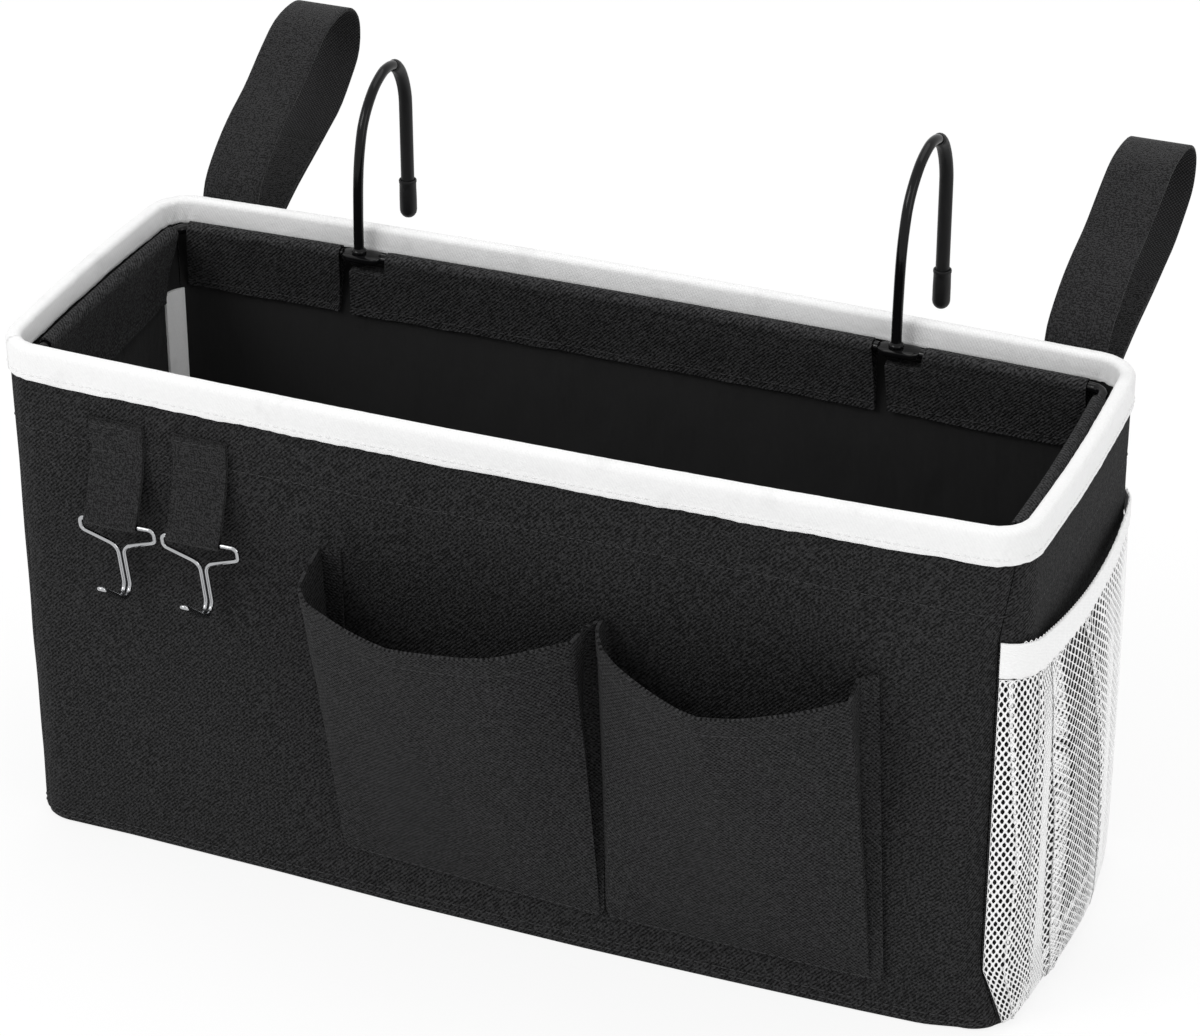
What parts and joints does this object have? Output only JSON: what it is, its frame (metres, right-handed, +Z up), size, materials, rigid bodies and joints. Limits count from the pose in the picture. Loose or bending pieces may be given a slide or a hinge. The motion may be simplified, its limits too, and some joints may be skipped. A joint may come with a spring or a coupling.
{
  "type": "bedside caddy",
  "caption": "Hanging fabric bedside caddy with wire hooks, strap loops, key hooks on tabs, front pockets and a net side pocket.",
  "frame": {"origin": "centre of the base's underside", "axes": "+X along the length to the net pocket, +Y from the front to the back that hangs against the bed, +Z up"},
  "size_m": [0.4119, 0.2884, 0.2725],
  "materials": {
    "shell_cloth": "woven, matt black",
    "lining_cloth": "smooth, matt black",
    "board": "stiff sheet sewn between the cloths, not visible",
    "binding": "white ribbed tape",
    "seam_tape": "white tape",
    "enamelled_wire": "gloss black steel wire",
    "black_plastic": "matt black",
    "webbing": "black webbing and hook-and-loop tape",
    "chromed_wire": "polished",
    "net": "white knitted net",
    "elastic": "white elastic tape"
  },
  "bodies": {
    "box": {"front_panel": "shell_cloth", "front_board": "board", "front_lining": "lining_cloth", "back_panel": "shell_cloth", "back_board": "board", "back_lining": "lining_cloth", "left_panel": "shell_cloth", "left_board": "board", "left_lining": "lining_cloth", "right_panel": "shell_cloth", "right_board": "board", "right_lining": "lining_cloth", "base_panel": "shell_cloth", "base_board": "board", "base_lining": "lining_cloth", "rim_binding": "binding", "frame_wire": "enamelled_wire", "front_sleeve": "shell_cloth", "left_sleeve": "shell_cloth", "right_sleeve": "shell_cloth", "back_sleeve_left": "shell_cloth", "back_sleeve_middle": "shell_cloth", "back_sleeve_right": "shell_cloth", "seam_tape_front_right": "seam_tape", "seam_tape_right_back": "seam_tape", "seam_tape_back_left": "seam_tape", "seam_tape_left_front": "seam_tape", "strap_left": "webbing", "grip_tape_left": "webbing", "tab_head_left": "webbing", "pocket_left": "shell_cloth", "strap_right": "webbing", "grip_tape_right": "webbing", "tab_head_right": "webbing", "pocket_right": "shell_cloth", "net_pocket": "net", "net_band": "elastic"},
    "hook_left_body": {"hook_left": "enamelled_wire", "hook_sleeve_left": "black_plastic", "hook_cap_left": "black_plastic"},
    "tab_left_body": {"tab_loop_left": "webbing"},
    "key_hook_left_body": {"key_hook_left": "chromed_wire"},
    "hook_right_body": {"hook_right": "enamelled_wire", "hook_sleeve_right": "black_plastic", "hook_cap_right": "black_plastic"},
    "tab_right_body": {"tab_loop_right": "webbing"},
    "key_hook_right_body": {"key_hook_right": "chromed_wire"}
  },
  "joints": [
    {"name": "hook_left_swivel", "type": "hinge", "parent": "box", "child": "hook_left_body", "pos_m": [-0.1115, 0.06262, 0.199], "axis": [0, 0, 1], "range_deg": [-60, 60]},
    {"name": "hook_right_swivel", "type": "hinge", "parent": "box", "child": "hook_right_body", "pos_m": [0.1075, 0.06271, 0.199], "axis": [0, 0, 1], "range_deg": [-60, 60]},
    {"name": "tab_left_swing", "type": "hinge", "parent": "box", "child": "tab_left_body", "pos_m": [-0.148, -0.07311, 0.1716], "axis": [1, 0, 0], "range_deg": [-80, 2]},
    {"name": "key_hook_left_swing", "type": "hinge", "parent": "tab_left_body", "child": "key_hook_left_body", "pos_m": [-0.148, -0.08166, 0.14811], "axis": [1, 0, 0], "range_deg": [-85, 2]},
    {"name": "tab_right_swing", "type": "hinge", "parent": "box", "child": "tab_right_body", "pos_m": [-0.1135, -0.07373, 0.1716], "axis": [1, 0, 0], "range_deg": [-80, 2]},
    {"name": "key_hook_right_swing", "type": "hinge", "parent": "tab_right_body", "child": "key_hook_right_body", "pos_m": [-0.1135, -0.08229, 0.14811], "axis": [1, 0, 0], "range_deg": [-85, 2]}
  ]
}
